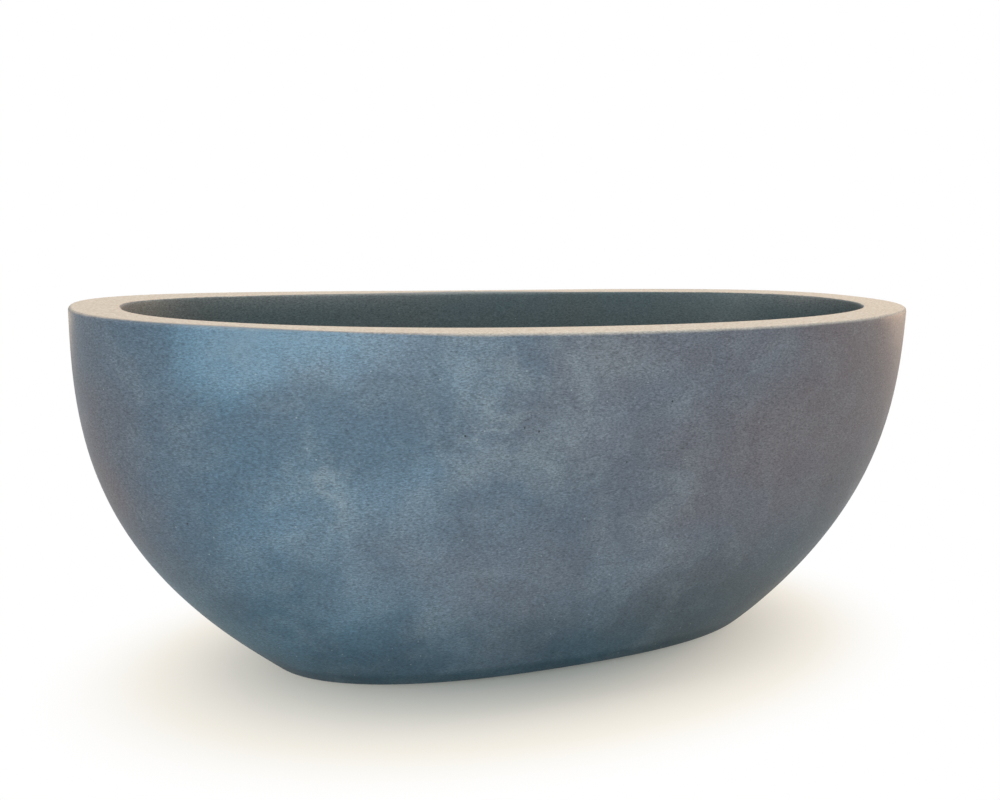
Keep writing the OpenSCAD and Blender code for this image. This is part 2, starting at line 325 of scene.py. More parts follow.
def stain_wear(tree, drawn, across, painted_highlight):
    """Where the stain turns warm grey: in patches where it took less, and towards the right and at both ends,
    partly as painted warm light.
    """
    moved = add_node(tree, "ShaderNodeMapping", {"Vector": drawn, "Location": (3.1, 1.7, 0.4)})
    thin = add_node(
        tree, "ShaderNodeTexNoise", {"Vector": moved, "Scale": sized(170), "Detail": 4, "Roughness": 0.5}
    )
    # Warmer towards the right: partly the stain, partly painted warm light
    right = add_node(tree, "ShaderNodeMapRange", {0: across, 1: -0.30, 2: 0.30, 3: -0.04, 4: 0.34})
    thin = add_node(tree, "ShaderNodeMath", {0: thin, 1: 0.35, 2: right}, operation="MULTIPLY_ADD")
    greying_patches = patches(tree, drawn, ENDS_WORN_AND_PAINTED_WARM)
    thin = add_node(tree, "ShaderNodeMath", {0: thin, 1: greying_patches}, operation="ADD")
    # Less warm grey under the painted highlight
    thin = add_node(tree, "ShaderNodeMath", {0: painted_highlight, 1: -0.5, 2: thin}, operation="MULTIPLY_ADD")
    return add_node(tree, "ShaderNodeMapRange", {0: thin, 1: 0.08, 2: 0.50, 3: 0.0, 4: 0.95})


def painted_base_shades(tree, place, across, level):
    """Painted shade: towards the base, reaching higher at the ends, and once more in a line along the lower
    edge.
    """
    ends = add_node(tree, "ShaderNodeMath", {0: across, 1: 0.10}, operation="ADD")
    ends = add_node(tree, "ShaderNodeMath", {0: ends}, operation="ABSOLUTE")
    low = add_node(tree, "ShaderNodeMath", {0: ends, 1: -0.30, 2: level}, operation="MULTIPLY_ADD")
    height = add_node(tree, "ShaderNodeSeparateXYZ", {0: place}).outputs["Z"]
    for above, start, stop in ((low, -0.04, 0.13), (height, 0.014, 0.024)):
        yield add_node(
            tree, "ShaderNodeMapRange", {0: above, 1: start, 2: stop, 3: 1.0, 4: 0.0},
            interpolation_type="SMOOTHSTEP",
        )


def outer_stain(tree, finish, place, drawn, clouds, painted_highlight):
    """Outside: slate stain to a paler wash, warm grey where it took less and with painted warm light, and
    painted shade low down.
    """
    axes = add_node(tree, "ShaderNodeSeparateXYZ", {0: drawn}).outputs
    stain = add_node(tree, "ShaderNodeMix", {0: clouds, 6: finish.slate, 7: finish.wash}, data_type="RGBA")
    thin = stain_wear(tree, drawn, axes["X"], painted_highlight)
    stain = add_node(tree, "ShaderNodeMix", {0: thin, 6: stain, 7: finish.mauve}, data_type="RGBA")
    # Painted shade towards the base and along its lower edge
    for shade_share in painted_base_shades(tree, place, axes["X"], axes["Z"]):
        stain = add_node(
            tree, "ShaderNodeMix", {0: shade_share, 6: stain, 7: finish.painted_base_shade},
            data_type="RGBA", blend_type="MULTIPLY",
        )
    return stain


def lime_bloom(tree, drawn, mottle, broken):
    """Lime bloom: faint all over, and stronger in the patches of BLOOMS."""
    faint = add_node(tree, "ShaderNodeMapRange", {0: mottle, 1: 0.46, 2: 0.80, 3: 0.0, 4: 0.24})
    bloomed = patches(tree, drawn, BLOOMS)
    return add_node(tree, "ShaderNodeMath", {0: bloomed, 1: broken, 2: faint}, operation="MULTIPLY_ADD")


def inner_stain(tree, finish, place, clouds):
    """The stain inside: greener and darker, partly as painted shade, brown where it ran thin, and lighter
    under the rim as painted light.
    """
    thin = add_node(tree, "ShaderNodeMapRange", {0: clouds, 3: 0.0, 4: 0.5})
    stain = add_node(
        tree, "ShaderNodeMix", {0: thin, 6: finish.hollow, 7: finish.hollow_thin}, data_type="RGBA"
    )
    # Painted light on the inside wall under the rim, in the rim's grey sand
    greying_patches = patches(tree, place, PAINTED_LIGHT_IN_HOLLOW)
    return add_node(tree, "ShaderNodeMix", {0: greying_patches, 6: stain, 7: finish.sand_grey}, data_type="RGBA")


def inner_share(tree, place, hollow, mottle):
    """How far the stain is the inside's: 1 in the hollow and where it crept out over the rim."""
    inner = add_node(tree, "ShaderNodeMath", {0: mottle, 1: 0.3, 2: hollow}, operation="MULTIPLY_ADD")
    crept = patches(tree, place, HOLLOW_STAINS)
    inner = add_node(tree, "ShaderNodeMath", {0: inner, 1: crept}, operation="ADD")
    return add_node(
        tree, "ShaderNodeMapRange", {0: inner, 1: 0.80, 2: 0.95}, interpolation_type="SMOOTHSTEP"
    )


def rim_shares(tree, place, rim_face, mottle, inner):
    """How far the rim's face is bare, and how far from its edges, which stay grey."""
    edge = add_node(tree, "ShaderNodeMath", {0: mottle, 1: 0.2, 2: rim_face}, operation="MULTIPLY_ADD")
    crept = patches(tree, place, RIM_STAINS)
    edge = add_node(tree, "ShaderNodeMath", {0: edge, 1: crept}, operation="SUBTRACT")
    bare, clean = (
        add_node(tree, "ShaderNodeMapRange", {0: edge, 1: start, 2: stop}, interpolation_type="SMOOTHSTEP")
        for start, stop in ((0.16, 0.30), (0.25, 0.59))
    )
    bare = add_node(tree, "ShaderNodeMath", {0: bare, 1: inner}, operation="SUBTRACT", use_clamp=True)
    return bare, clean


def specks(tree, place, spacing, radii, strength, rarity):
    """Round specks, spaced in millimetres. The rarity is the share of places that stay empty."""
    cells = add_node(tree, "ShaderNodeTexVoronoi", {"Vector": place, "Scale": sized(spacing)})
    speck = add_node(
        tree, "ShaderNodeMapRange",
        {0: cells.outputs["Distance"], 1: radii[0], 2: radii[1], 3: strength, 4: 0.0},
    )
    pick = add_node(
        tree, "ShaderNodeMath", {0: cells.outputs["Color"], 1: rarity}, operation="GREATER_THAN"
    )
    return add_node(tree, "ShaderNodeMath", {0: speck, 1: pick}, operation="MULTIPLY")


def brushed_grain(tree, place):
    """Brush strokes and sand: about a millimetre in reality, drawn at 3 mm by 1 mm so that they show."""
    strokes = add_node(tree, "ShaderNodeMapping", {"Vector": place, "Scale": (1, 1, 2.6)})
    return add_node(
        tree, "ShaderNodeTexNoise",
        {"Vector": strokes, "Scale": sized(2.8), "Detail": 3, "Roughness": 0.7, "Distortion": 0.4},
    )


def concrete_relief(tree, place, grain, rough, hole):
    """The hand-filled mould's slow waves, with the strokes and the pinholes in them."""
    waves = add_node(
        tree, "ShaderNodeTexNoise", {"Vector": place, "Scale": sized(60), "Detail": 3, "Roughness": 0.5}
    )
    depth = add_node(tree, "ShaderNodeMath", {0: rough, 1: 0.5}, operation="MULTIPLY")
    relief = add_node(tree, "ShaderNodeBump", {"Strength": 0.25, "Distance": 2 * MM, "Height": waves})
    relief = add_node(
        tree, "ShaderNodeBump",
        {"Strength": depth, "Distance": 0.25 * MM, "Height": grain, "Normal": relief},
    )
    return add_node(
        tree, "ShaderNodeBump",
        {"Strength": 0.8, "Distance": 0.8 * MM, "Height": hole, "Normal": relief}, invert=True,
    )


# Cast concrete with an acid stain and a wax sealer: the stain clouds from slate blue to a warm grey, lime
# blooms through it in pale broken patches, and brushing on the stain left short level strokes. Painted into
# the colour are a highlight at the upper left, shade on the left-hand end, towards the base and in the
# hollow, warm light towards the right and at the ends, and light under the rim inside. The wax gives a soft
# sheen. The rim's face was ground bare and shows pale sand, and air left a few pinholes.
def stained_concrete(finish):
    material, tree, place = new_material("waxed_stained_concrete")
    rim_face, hollow, underside = (
        add_node(tree, "ShaderNodeAttribute", attribute_name=zone).outputs["Fac"] for zone in ZONES
    )
    drawn = swirled(tree, place)
    # Washes of the stain, with a painted highlight and painted shade among them; the highlight alone is kept
    # apart
    washes_and_painted_light = patches(tree, drawn, WASHES_AND_PAINTED_LIGHT)
    painted_highlight = add_node(tree, "ShaderNodeMath", {0: washes_and_painted_light, 1: 0.0}, operation="MAXIMUM")
    clouds = stain_clouds(tree, drawn, washes_and_painted_light)
    moved = add_node(tree, "ShaderNodeMapping", {"Vector": drawn, "Location": (0.6, 4.2, 2.5)})
    mottle = add_node(
        tree, "ShaderNodeTexNoise", {"Vector": moved, "Scale": sized(48), "Detail": 9, "Roughness": 0.68}
    )
    broken = add_node(tree, "ShaderNodeMapRange", {0: mottle, 1: 0.36, 2: 0.62})

    stain = outer_stain(tree, finish, place, drawn, clouds, painted_highlight)
    bloom = lime_bloom(tree, drawn, mottle, broken)
    inside = inner_stain(tree, finish, place, clouds)
    inner = inner_share(tree, place, hollow, mottle)
    body = stain
    for share, over in ((bloom, finish.bloom), (inner, inside), (underside, finish.cement)):
        body = add_node(tree, "ShaderNodeMix", {0: share, 6: body, 7: over}, data_type="RGBA")

    grain = brushed_grain(tree, place)
    grain_tone = add_node(tree, "ShaderNodeMapRange", {0: grain, 1: 0.3, 2: 0.7, 3: 0.25, 4: 0.75})
    # The painted highlight shows less of the grain than the rest
    rough = add_node(tree, "ShaderNodeMapRange", {0: painted_highlight, 2: 0.6, 3: 1.0, 4: 0.5})
    bare, clean = rim_shares(tree, place, rim_face, mottle, inner)
    sand = add_node(
        tree, "ShaderNodeMix", {0: clean, 6: finish.sand_grey, 7: finish.sand}, data_type="RGBA"
    )
    body, sand = (
        add_node(
            tree, "ShaderNodeMix", {0: share, 6: under, 7: grain_tone}, data_type="RGBA", blend_type="OVERLAY"
        )
        for share, under in ((rough, body), (0.7, sand))
    )

    # Pale grit, a grain here and there, and a pinhole every few centimetres
    grit = specks(tree, place, 9, radii=(0.05, 0.10), strength=0.7, rarity=0.72)
    hole = specks(tree, place, 24, radii=(0.025, 0.045), strength=1.0, rarity=0.62)
    for share, over in ((bare, sand), (grit, finish.bloom), (hole, finish.hole)):
        body = add_node(tree, "ShaderNodeMix", {0: share, 6: body, 7: over}, data_type="RGBA")

    relief = concrete_relief(tree, place, grain, rough, hole)
    # The wax's sheen is broken by the same mottle as the lime, and the bare rim is dull
    matt = add_node(tree, "ShaderNodeMapRange", {0: broken, 3: 0.46, 4: 0.60})
    matt = add_node(tree, "ShaderNodeMix", {0: bare, 2: matt, 3: 0.85})
    shader = add_node(
        tree, "ShaderNodeBsdfPrincipled",
        {
            "Base Color": body, "Roughness": matt, "Specular IOR Level": 0.28, "Coat Weight": 0.08,
            "Coat Roughness": 0.3, "Normal": relief,
        },
    )
    add_node(tree, "ShaderNodeOutputMaterial", {"Surface": shader})
    return material


# Extruded pipe plastic: even grey, faint lines along the pipe, a low sheen
def pipe_plastic(finish):
    material, tree, place = new_material("extruded_pipe_plastic")
    drawn = add_node(tree, "ShaderNodeMapping", {"Vector": place, "Scale": (1, 1, 0.05)})
    lines = add_node(tree, "ShaderNodeTexNoise", {"Vector": drawn, "Scale": sized(1.2), "Detail": 2})
    dust = add_node(
        tree, "ShaderNodeTexNoise", {"Vector": place, "Scale": sized(9), "Detail": 5, "Roughness": 0.65}
    )
    dust = add_node(tree, "ShaderNodeMapRange", {0: dust, 1: 0.45, 2: 0.8, 3: 0.0, 4: 0.5})
    tint = add_node(tree, "ShaderNodeMix", {0: dust, 6: finish.pipe, 7: finish.sand_grey}, data_type="RGBA")
    relief = add_node(tree, "ShaderNodeBump", {"Strength": 0.3, "Distance": 0.1 * MM, "Height": lines})
    matt = add_node(tree, "ShaderNodeMapRange", {0: dust, 3: 0.38, 4: 0.6})
    shader = add_node(
        tree, "ShaderNodeBsdfPrincipled",
        {"Base Color": tint, "Roughness": matt, "IOR": 1.53, "Normal": relief},
    )
    add_node(tree, "ShaderNodeOutputMaterial", {"Surface": shader})
    return material


# Moulded rubber: black with a grey dusting of bloom, a fine leathery skin, almost no sheen
def moulded_rubber(finish):
    material, tree, place = new_material("moulded_black_rubber")
    skin = add_node(
        tree, "ShaderNodeTexNoise", {"Vector": place, "Scale": sized(0.8), "Detail": 3, "Roughness": 0.6}
    )
    dust = add_node(
        tree, "ShaderNodeTexNoise", {"Vector": place, "Scale": sized(7), "Detail": 6, "Roughness": 0.7}
    )
    dust = add_node(tree, "ShaderNodeMapRange", {0: dust, 1: 0.45, 2: 0.85, 3: 0.0, 4: 0.22})
    tint = add_node(
        tree, "ShaderNodeMix", {0: dust, 6: finish.rubber, 7: finish.sand_grey}, data_type="RGBA"
    )
    relief = add_node(tree, "ShaderNodeBump", {"Strength": 0.35, "Distance": 0.12 * MM, "Height": skin})
    matt = add_node(tree, "ShaderNodeMapRange", {0: skin, 1: 0.3, 2: 0.7, 3: 0.55, 4: 0.75})
    shader = add_node(
        tree, "ShaderNodeBsdfPrincipled",
        {"Base Color": tint, "Roughness": matt, "IOR": 1.52, "Normal": relief},
    )
    add_node(tree, "ShaderNodeOutputMaterial", {"Surface": shader})
    return material


# Hot rolled bar: a dark skin of mill scale with light rust where it has flaked
def rolled_bar(finish):
    material, tree, place = new_material("rolled_steel_bar")
    flakes = add_node(
        tree, "ShaderNodeTexNoise", {"Vector": place, "Scale": sized(6), "Detail": 6, "Roughness": 0.65}
    )
    rust = add_node(
        tree, "ShaderNodeMapRange", {0: flakes, 1: 0.48, 2: 0.58}, interpolation_type="SMOOTHSTEP"
    )
    tint = add_node(tree, "ShaderNodeMix", {0: rust, 6: finish.scale, 7: finish.rust}, data_type="RGBA")
    metal = add_node(tree, "ShaderNodeMapRange", {0: rust, 3: 0.8, 4: 0.0})
    matt = add_node(tree, "ShaderNodeMapRange", {0: rust, 3: 0.45, 4: 0.85})
    relief = add_node(tree, "ShaderNodeBump", {"Strength": 0.4, "Distance": 0.2 * MM, "Height": flakes})
    shader = add_node(
        tree, "ShaderNodeBsdfPrincipled",
        {"Base Color": tint, "Metallic": metal, "Roughness": matt, "Normal": relief},
    )
    add_node(tree, "ShaderNodeOutputMaterial", {"Surface": shader})
    return material


def finish_piece(name, shaped, material, body, node):
    """Makes a shaped bmesh a piece that rides on a body and stands for a node of the frame."""
    mesh = bpy.data.meshes.new(name)
    shaped.to_mesh(mesh)
    shaped.free()
    mesh.shade_smooth()
    mesh.set_sharp_from_angle(angle=SMOOTH_ANGLE)
    mesh.materials.append(material)
    piece = bpy.data.objects.new(name, mesh)
    bpy.context.scene.collection.objects.link(piece)
    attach(piece, body)
    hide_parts(node)


def spin_section(shaped, points, steps, closed=False):
    """Joins points into a section and spins it once round the upright axis."""
    joined = zip(points, points[1:] + points[:1]) if closed else zip(points, points[1:])
    edges = [shaped.edges.new(pair) for pair in joined]
    bmesh.ops.spin(
        shaped, geom=points + edges, cent=(0, 0, 0), axis=(0, 0, 1), angle=math.tau, steps=steps,
        use_merge=True,
    )
    bmesh.ops.remove_doubles(shaped, verts=shaped.verts, dist=1e-6)


def soften(shaped, radius, angle=40, segments=2):
    """Rounds every edge that is sharper than an angle."""
    sharp = [
        edge
        for edge in shaped.edges
        if len(edge.link_faces) == 2 and edge.calc_face_angle() > math.radians(angle)
    ]
    bmesh.ops.bevel(
        shaped, geom=sharp, offset=radius, offset_type="OFFSET", segments=segments, profile=0.5,
        affect="EDGES", clamp_overlap=True, material=-1,
    )


def quarter_round(steps):
    """A quarter round of radius 1: each step's share of the turn, its way in, and its way from the end."""
    for step in range(steps + 1):
        share = step / steps
        yield share, 1 - math.cos(share * math.pi / 2), 1 - math.sin(share * math.pi / 2)


def half_spans(bowl, level):
    """Half the bowl's length and half its width at a level."""
    share = (level - bowl.base_level) / (bowl.rim_height - bowl.base_level)
    share = min(max(share, 0.0), 1.0)
    ends = (1 - (1 - share) ** bowl.end_fullness) ** (1 / bowl.end_flare)
    sides = (1 - (1 - share) ** bowl.side_fullness) ** (1 / bowl.side_flare)
    return (
        (bowl.base_length + (bowl.rim_length - bowl.base_length) * ends) / 2,
        (bowl.base_width + (bowl.rim_width - bowl.base_width) * sides) / 2,
    )


def bowl_section(bowl):
    """The wall's section: inset from the outside, level, and how far it is rim, hollow and underside."""
    base, rim = bowl.base_level, bowl.rim_height
    floor = base + bowl.floor_thickness
    section = [(bowl.base_edge + FLAT_RING, base, 0, 0, 1)]
    for _turn, along, off in quarter_round(BASE_EDGE_STEPS):
        section.append((bowl.base_edge * off, base + bowl.base_edge * along, 0, 0, off))
    low, high = base + bowl.base_edge, rim - bowl.rim_outer_edge
    for step in range(1, OUTSIDE_STEPS):
        # The steps are closer near the base, where the wall curves most
        section.append((0, low + (high - low) * (step / OUTSIDE_STEPS) ** 1.5, 0, 0, 0))
    for turn, along, off in quarter_round(OUTER_EDGE_STEPS):
        section.append((bowl.rim_outer_edge * along, rim - bowl.rim_outer_edge * off, turn / 2, 0, 0))
    start, stop = bowl.rim_outer_edge, bowl.wall - bowl.rim_inner_edge
    for step in range(1, FACE_STEPS):
        share = step / FACE_STEPS
        section.append((start + (stop - start) * share, rim, 0.5 + min(1.5 * share, 0.5), share / 2, 0))
    for turn, along, off in quarter_round(INNER_EDGE_STEPS):
        inset, level = bowl.wall - bowl.rim_inner_edge * off, rim - bowl.rim_inner_edge * along
        section.append((inset, level, 1, 0.5 + 0.5 * turn, 0))
    high, low = rim - bowl.rim_inner_edge, floor + bowl.floor_fillet
    for step in range(1, INSIDE_STEPS):
        share = step / INSIDE_STEPS
        inset, level = bowl.wall + (bowl.wall_low - bowl.wall) * share, high + (low - high) * share
        section.append((inset, level, 1, 1, 0))
    for _turn, along, off in quarter_round(FILLET_STEPS):
        inset, level = bowl.wall_low + bowl.floor_fillet * along, floor + bowl.floor_fillet * off
        section.append((inset, level, 1, 1, 0))
    section.append((bowl.wall_low + bowl.floor_fillet + FLAT_RING, floor, 1, 1, 0))
    return section


def press_to_oval(bowl, vertex):
    """Moves a point of the round bowl to its place on the oval one."""
    inset = SPUN_RADIUS - math.hypot(vertex.co.x, vertex.co.y)
    angle = math.atan2(vertex.co.y, vertex.co.x)
    level = vertex.co.z
    half_length, half_width = half_spans(bowl, level)
    across, along = math.cos(angle), math.sin(angle)
    x = (half_length - inset) * math.copysign(abs(across) ** (2 / bowl.oval_power), across)
    y = (half_width - inset) * math.copysign(abs(along) ** (2 / bowl.oval_power), along)
    floor = bowl.base_level + bowl.floor_thickness
    share = max(0.0, (level - floor) / (bowl.rim_height - floor))
    vertex.co = (x, y, level + bowl.rim_rise * share * (2 * x / bowl.rim_length) ** 2)


def ring_edges(shaped, level):
    """The open edges at a level."""
    return [e for e in shaped.edges if e.is_boundary and abs(e.verts[0].co.z - level) < 1e-6]


def add_circle(shaped, radius, centre, zone):
    """Adds a circle of edges, marked as part of a zone, and gives its edges."""
    made = bmesh.ops.create_circle(
        shaped, cap_ends=False, radius=radius, segments=SMALL_ROUND_STEPS, matrix=Matrix.Translation(centre)
    )
    corners = set(made["verts"])
    for vertex in corners:
        vertex[zone] = 1.0
    return [e for e in shaped.edges if e.verts[0] in corners and e.verts[1] in corners]


def drawn_edges(shaped, edges, by=(0, 0, 0), widen=1.0, centre=(0, 0, 0)):
    """Extrudes a loop of edges, moves and widens the new loop, and gives its edges."""
    made = bmesh.ops.extrude_edge_only(shaped, edges=edges)["geom"]
    corners = [part for part in made if isinstance(part, bmesh.types.BMVert)]
    bmesh.ops.translate(shaped, verts=corners, vec=by)
    bmesh.ops.scale(
        shaped, verts=corners, vec=(widen, widen, 1), space=Matrix.Translation(-Vector(centre))
    )
    return [part for part in made if isinstance(part, bmesh.types.BMEdge)]


def pad_centres():
    """The middle of each pad, taken from its node."""
    for face in FACES:
        for side in SIDES:
            low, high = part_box(f"foot_pad_{face}_{side}")
            yield face, side, (low + high) / 2


def open_drain(shaped, bowl, fitting, sign, hollow, underside):
    """Opens a stepped seat for a drain sleeve through the floor, and gives the circles at its two ends."""
    top = Vector((sign * fitting.drain_x, 0, bowl.base_level + bowl.floor_thickness))
    bottom = Vector((sign * fitting.drain_x, 0, bowl.base_level))
    seat_radius = fitting.sleeve_radius + fitting.cast_fit
    flange_radius = fitting.flange_radius + fitting.cast_fit
    mouth = add_circle(shaped, flange_radius, top, hollow)
    end = add_circle(shaped, seat_radius, bottom, underside)
    ledge = drawn_edges(shaped, mouth, by=(0, 0, -fitting.flange_thickness - fitting.cast_fit))
    neck = drawn_edges(shaped, ledge, widen=seat_radius / flange_radius, centre=top)
    bmesh.ops.bridge_loops(shaped, edges=neck + end)
    return mouth, end


def open_recess(shaped, bowl, fitting, middle, underside):
    """Opens the recess for a pad in the base, and gives the circle round its mouth."""
    centre = Vector((middle.x, middle.y, bowl.base_level))
    mouth = add_circle(shaped, fitting.pad_radius + fitting.pad_fit, centre, underside)
    roof = drawn_edges(shaped, mouth, by=(0, 0, fitting.pad_thickness - bowl.base_level))
    bmesh.ops.contextual_create(shaped, geom=roof)
    return mouth


class PLANTER_OT_bowl(bpy.types.Operator):
    """Spins the wall's section, presses it into the oval and opens the drains and pad recesses"""

    bl_idname = "planter.bowl"
    bl_label = "Cast the bowl"

    def execute(self, context):
        bowl, fitting = context.scene.planter_bowl, context.scene.planter_fittings
        shaped = bmesh.new()
        zones = [shaped.verts.layers.float.new(name) for name in ZONES]
        _rim_face, hollow, underside = zones
        points = []
        for inset, level, *shares in bowl_section(bowl):
            point = shaped.verts.new((SPUN_RADIUS - inset, 0, level))
            for zone, share in zip(zones, shares):
                point[zone] = share
            points.append(point)
        spin_section(shaped, points, ROUND_STEPS)
        for vertex in shaped.verts:
            press_to_oval(bowl, vertex)

        floor_edges = ring_edges(shaped, bowl.base_level + bowl.floor_thickness)
        base_edges = ring_edges(shaped, bowl.base_level)
        for sign in SIDES.values():
            mouth, end = open_drain(shaped, bowl, fitting, sign, hollow, underside)
            floor_edges += mouth
            base_edges += end
        for _face, _side, middle in pad_centres():
            base_edges += open_recess(shaped, bowl, fitting, middle, underside)
        bmesh.ops.triangle_fill(shaped, use_beauty=True, edges=floor_edges)
        bmesh.ops.triangle_fill(shaped, use_beauty=True, edges=base_edges)
        bmesh.ops.recalc_face_normals(shaped, faces=shaped.faces)
        open_edges = [edge for edge in shaped.edges if not edge.is_manifold]
        if open_edges:
            raise RuntimeError(f"the bowl has {len(open_edges)} open edges")
        finish_piece(
            "concrete_bowl", shaped, stained_concrete(context.scene.planter_finish), "bowl",
            "bowl_shell",
        )
        return {"FINISHED"}


class PLANTER_OT_sleeves(bpy.types.Operator):
    """Spins the two flanged drain sleeves"""

    bl_idname = "planter.sleeves"
    bl_label = "Make the drain sleeves"

    def execute(self, context):
        fitting, bowl = context.scene.planter_fittings, context.scene.planter_bowl
        base = bowl.base_level
        floor = base + bowl.floor_thickness
        key = (base + floor - fitting.key_thickness) / 2
        section = [
            (fitting.bore_radius, base),
            (fitting.bore_radius, floor),
            (fitting.flange_radius, floor),
            (fitting.flange_radius, floor - fitting.flange_thickness),
            (fitting.sleeve_radius, floor - fitting.flange_thickness),
            (fitting.sleeve_radius, key + fitting.key_thickness),
            (fitting.key_radius, key + fitting.key_thickness),
            (fitting.key_radius, key),
            (fitting.sleeve_radius, key),
            (fitting.sleeve_radius, base),
        ]
        material = pipe_plastic(context.scene.planter_finish)
        for side, sign in SIDES.items():
            shaped = bmesh.new()
            points = [shaped.verts.new((radius, 0, level)) for radius, level in section]
            spin_section(shaped, points, SMALL_ROUND_STEPS, closed=True)
            bmesh.ops.recalc_face_normals(shaped, faces=shaped.faces)
            soften(shaped, SLEEVE_EDGE)
            bmesh.ops.translate(shaped, verts=shaped.verts, vec=(sign * fitting.drain_x, 0, 0))
            finish_piece(f"sleeve_{side}", shaped, material, "bowl", f"drain_sleeve_{side}")
        return {"FINISHED"}


def add_pull_tab(shaped, fitting):
    """Adds the flat tab with a round top that stands on a plug's head."""
    tab = bmesh.new()
    bmesh.ops.create_cube(tab, size=1)
    root = fitting.head_thickness / 2
    size = (fitting.tab_length, fitting.tab_thickness, fitting.tab_height + root)
    bmesh.ops.scale(tab, verts=tab.verts, vec=size)
    middle = fitting.head_thickness + (fitting.tab_height - root) / 2
    bmesh.ops.translate(tab, verts=tab.verts, vec=(0, 0, middle))
    high = [edge for edge in tab.edges if all(corner.co.z > middle for corner in edge.verts)]
    shoulders = [edge for edge in high if edge.verts[0].co.x * edge.verts[1].co.x > 0]
    bmesh.ops.bevel(
        tab, geom=shoulders, offset=fitting.tab_length / 2 - SHOULDER_GAP, offset_type="OFFSET",
        segments=SHOULDER_STEPS, profile=0.5, affect="EDGES", clamp_overlap=True, material=-1,
    )
    soften(tab, TAB_EDGE, angle=60, segments=3)
    bmesh.ops.recalc_face_normals(tab, faces=tab.faces)
    mesh = bpy.data.meshes.new("pull_tab")
    tab.to_mesh(mesh)
    tab.free()
    shaped.from_mesh(mesh)
    bpy.data.meshes.remove(mesh)


class PLANTER_OT_plugs(bpy.types.Operator):
    """Spins the two rubber plugs and puts a pull tab on each"""

    bl_idname = "planter.plugs"
    bl_label = "Make the drain plugs"

    def execute(self, context):
        fitting, bowl = context.scene.planter_fittings, context.scene.planter_bowl
        floor = bowl.base_level + bowl.floor_thickness
        section = [
            (0, -fitting.stem_length),
            (fitting.tip_radius, -fitting.stem_length),
            (fitting.band_radius, -fitting.band_length),
            (fitting.band_radius, 0),
            (fitting.head_radius, 0),
        ]
        for _turn, along, off in quarter_round(HEAD_EDGE_STEPS):
            radius = fitting.head_radius - fitting.head_edge * along
            section.append((radius, fitting.head_thickness - fitting.head_edge * off))
        section.append((0, fitting.head_thickness))
        material = moulded_rubber(context.scene.planter_finish)
        for side, sign in SIDES.items():
            shaped = bmesh.new()
            points = [shaped.verts.new((radius, 0, level)) for radius, level in section]
            spin_section(shaped, points, SMALL_ROUND_STEPS)
            bmesh.ops.recalc_face_normals(shaped, faces=shaped.faces)
            soften(shaped, PLUG_EDGE)
            add_pull_tab(shaped, fitting)
            bmesh.ops.translate(shaped, verts=shaped.verts, vec=(sign * fitting.drain_x, 0, floor))
            finish_piece(f"plug_{side}", shaped, material, f"plug_{side}", f"drain_plug_{side}")
        return {"FINISHED"}


class PLANTER_OT_pads(bpy.types.Operator):
    """Spins the four rubber pads, with grooves in their lower faces"""

    bl_idname = "planter.pads"
    bl_label = "Make the pads"

    def execute(self, context):
        fitting = context.scene.planter_fittings
        radius, top = fitting.pad_radius, fitting.pad_thickness
        section = [(0, 0)]
        for share in GROOVE_SHARES:
            start, stop = radius * share, radius * share + GROOVE_WIDTH
            section += [(start, 0), (start, GROOVE_DEPTH), (stop, GROOVE_DEPTH), (stop, 0)]
        section += [(radius, 0), (radius, top), (0, top)]
        material = moulded_rubber(context.scene.planter_finish)
        for face, side, middle in pad_centres():
            shaped = bmesh.new()
            points = [shaped.verts.new((out, 0, level)) for out, level in section]
            spin_section(shaped, points, SMALL_ROUND_STEPS)
            bmesh.ops.recalc_face_normals(shaped, faces=shaped.faces)
            soften(shaped, PAD_EDGE)
            bmesh.ops.translate(shaped, verts=shaped.verts, vec=(middle.x, middle.y, 0))
            finish_piece(f"pad_{face}_{side}", shaped, material, "bowl", f"foot_pad_{face}_{side}")
        return {"FINISHED"}


class PLANTER_OT_steel(bpy.types.Operator):
    """Gives the bars inside the wall their finish"""

    bl_idname = "planter.steel"
    bl_label = "Finish the steel"

    def execute(self, context):
        material = rolled_bar(context.scene.planter_finish)
        for name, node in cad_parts.items():
            if "hoop" in name or "rib" in name:
                node.material_slots[0].material = material
        return {"FINISHED"}


class StudioSettings(bpy.types.PropertyGroup):
    """Camera, lamps and backdrop"""

    camera_place: FloatVectorProperty(
        name="Camera place", description="Where the camera stands", subtype="TRANSLATION", unit="LENGTH",
        default=(-0.47223, -1.03672, 0.46327),
    )
    camera_turn: FloatVectorProperty(
        name="Camera turn", description="How the camera is turned", subtype="EULER", unit="ROTATION",
        default=(math.radians(79.7676), math.radians(-1.3735), math.radians(-22.9188)),
    )
    frame_width: number("Frame width", "Width of the camera's frame in millimetres", 36)
    lens: number("Lens", "Focal length in millimetres", 38.164)
    window_power: number("Window", "Power of the broad lamp behind the camera", 50, unit="POWER")
    overhead_power: number("Overhead", "Power of the lamp above and behind", 82, unit="POWER")
    right_power: number("Right fill", "Power of the warm lamp beyond the right-hand end", 27, unit="POWER")
    left_power: number("Left fill", "Power of the warm lamp behind the left-hand end", 4.32, unit="POWER")
    sky: number("Room light", "Even light from all round", 0.32)
    shadow_length: number("Shadow length", "Length of the shadow's oval, in lengths of the rim", 0.7)
    shadow_width: number("Shadow width", "Width of the shadow's oval, in widths of the rim", 0.87)
    fade_start: number("Fade start", "Where the paper starts to fade to white, in ovals of the shadow", 0.37)
    fade_end: number("Fade end", "Where the paper is plain white, in ovals of the shadow", 1.55)


